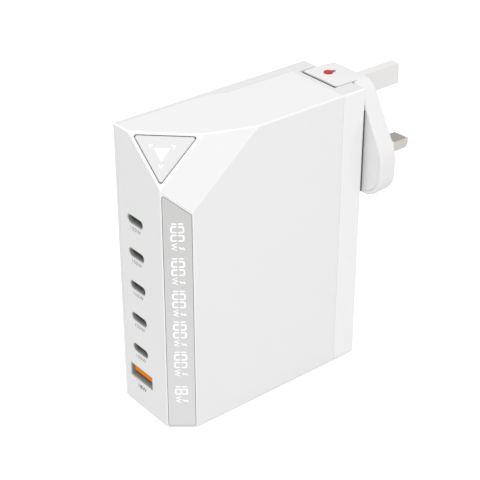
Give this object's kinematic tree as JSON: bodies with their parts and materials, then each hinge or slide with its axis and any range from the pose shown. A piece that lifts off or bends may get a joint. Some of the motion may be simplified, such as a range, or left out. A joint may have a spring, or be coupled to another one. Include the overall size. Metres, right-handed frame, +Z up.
{
  "type": "multi port usb desktop charger",
  "caption": "Upright white desktop charger with stacked sockets, a chamfered readout, a triangular corner button and a detachable plug.",
  "frame": {"origin": "middle of the casing's footprint, on the table", "axes": "+X the right side with the plain face, -Y the face with the sockets, +Z up"},
  "size_m": [0.051, 0.1171, 0.1133],
  "materials": {
    "matt_cover": "moulded, fine matt texture",
    "gloss_shell": "moulded, high gloss",
    "gloss_plug": "moulded, satin gloss",
    "base_rubber": "matt",
    "display_window": "tinted, satin",
    "button_cap": "moulded, satin",
    "black_plastic": "moulded",
    "white_led": "clear resin",
    "circuit_board": "solder mask",
    "screw_steel": "plated",
    "socket_steel": "plated",
    "orange_plastic": "moulded",
    "contact_brass": "plated",
    "insulating_sheet": "film",
    "yellow_plastic": "moulded",
    "ferrite": "sintered",
    "copper_wire": "enamelled",
    "aluminium_sheet": "plain",
    "can_sleeve": "sleeved",
    "thermal_rubber": "soft",
    "earth_plastic": "moulded",
    "pin_metal": "nickel plated",
    "pin_sleeve": "moulded",
    "red_plastic": "moulded"
  },
  "bodies": {
    "casing": {"base_pad": "base_rubber", "board_header": "black_plastic", "boost_choke": "ferrite", "bulk_capacitor_1": "can_sleeve", "bulk_capacitor_2": "can_sleeve", "button_board": "circuit_board", "button_screws": "screw_steel", "button_switch": "black_plastic", "choke_core": "ferrite", "choke_winding": "copper_wire", "display_board": "circuit_board", "display_leds": "white_led", "display_mask": "black_plastic", "display_window": "display_window", "front_cover": "matt_cover", "fuse": "black_plastic", "heat_spreader": "aluminium_sheet", "insulation_sheet": "insulating_sheet", "live_contact": "contact_brass", "main_board": "circuit_board", "main_screws": "screw_steel", "neutral_contact": "contact_brass", "output_capacitors": "aluminium_sheet", "output_inductors": "ferrite", "port_board": "circuit_board", "port_screws": "screw_steel", "rear_shell": "gloss_shell", "rectifier": "black_plastic", "rectifier_sink": "aluminium_sheet", "thermal_pad": "thermal_rubber", "transformer_core": "ferrite", "transformer_winding": "copper_wire", "usb_a_contacts": "contact_brass", "usb_a_shell": "socket_steel", "usb_a_tongue": "orange_plastic", "usb_c_shell_1": "socket_steel", "usb_c_shell_2": "socket_steel", "usb_c_shell_3": "socket_steel", "usb_c_shell_4": "socket_steel", "usb_c_shell_5": "socket_steel", "usb_c_tongue_1": "black_plastic", "usb_c_tongue_2": "black_plastic", "usb_c_tongue_3": "black_plastic", "usb_c_tongue_4": "black_plastic", "usb_c_tongue_5": "black_plastic", "x_capacitor": "yellow_plastic"},
    "button": {"button_cap": "button_cap", "switch_plunger": "black_plastic"},
    "plug": {"plug_body": "gloss_plug", "plug_lid": "gloss_plug", "plug_screws": "screw_steel", "earth_pin": "earth_plastic", "live_pin": "pin_metal", "neutral_pin": "pin_metal", "pin_sleeves": "pin_sleeve", "live_spring": "contact_brass", "neutral_spring": "contact_brass", "lock_retainer": "black_plastic"},
    "lock": {"lock_slider": "red_plastic"}
  },
  "joints": [
    {"name": "button_press", "type": "slide", "parent": "casing", "child": "button", "axis": [-0.5525, 0.5284, -0.6446], "range_m": [0, 0.0004], "stiffness_N_per_m": 800, "springref_m": -0.0003},
    {"name": "plug_lift", "type": "slide", "parent": "casing", "child": "plug", "axis": [0, 0, 1], "range_m": [0, 0.03]},
    {"name": "lock_slide", "type": "slide", "parent": "plug", "child": "lock", "axis": [0, 1, 0], "range_m": [0, 0.0024]}
  ]
}
